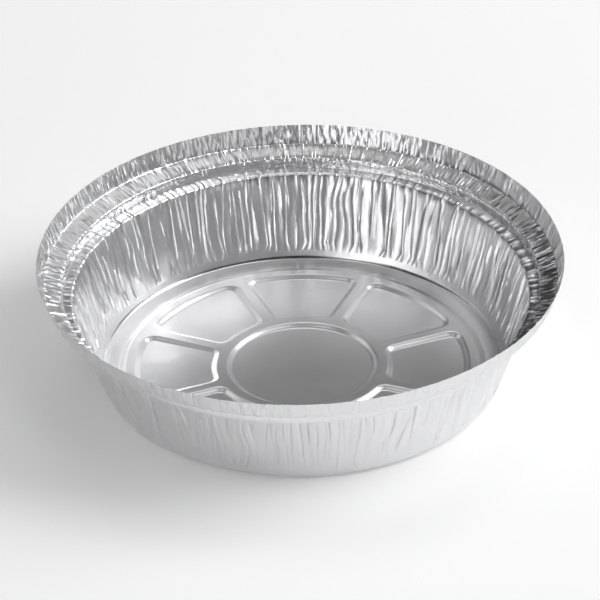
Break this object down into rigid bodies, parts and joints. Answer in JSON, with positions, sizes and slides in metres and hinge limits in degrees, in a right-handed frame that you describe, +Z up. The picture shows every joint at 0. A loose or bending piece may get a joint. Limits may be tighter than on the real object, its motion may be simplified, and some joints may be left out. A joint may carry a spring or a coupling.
{
  "type": "round foil baking pan",
  "caption": "Round, deep pan pressed from thin aluminium foil, with a crinkled wall, an embossed floor, and a stepped ledge and upright skirt that hold a lid.",
  "frame": {"origin": "centre of the resting face, under the middle of the pan", "axes": "+Z up, out of the pan's mouth. The pan is round about Z, apart from its irregular crinkles. +X points at the middle of one floor panel, to within a degree."},
  "size_m": [0.2302, 0.2302, 0.056],
  "materials": {
    "foil": "bright rolled foil, crinkled where it gathers"
  },
  "bodies": {
    "root": {"foil_pan": "foil"}
  },
  "joints": []
}
